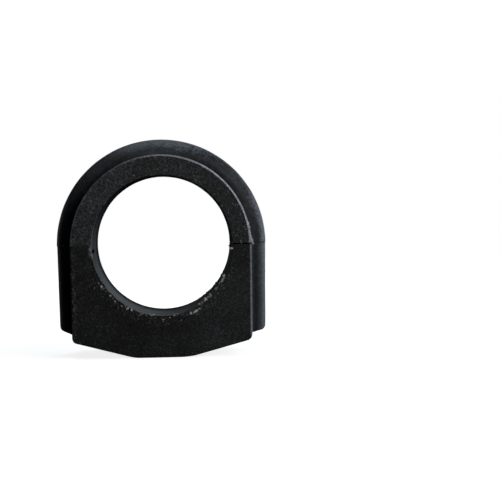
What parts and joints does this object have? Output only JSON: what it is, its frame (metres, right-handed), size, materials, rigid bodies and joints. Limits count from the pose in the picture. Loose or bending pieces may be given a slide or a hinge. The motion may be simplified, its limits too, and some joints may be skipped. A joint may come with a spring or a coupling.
{
  "type": "sway bar bushing",
  "caption": "One-piece moulded rubber bushing for a sway bar: round bore with a fitting slit, arched back with a round rib, drafted flanks and a crowned base.",
  "frame": {"origin": "on the bore's axis at the middle of the bushing's length", "axes": "+Y along the bar and the bore, +Z away from the base towards the top of the arch, +X towards the side wall that is slit"},
  "size_m": [0.0455, 0.03, 0.0465],
  "materials": {
    "rubber": "matt moulded black rubber with a dusty bloom"
  },
  "bodies": {
    "root": {"bushing": "rubber"}
  },
  "joints": []
}
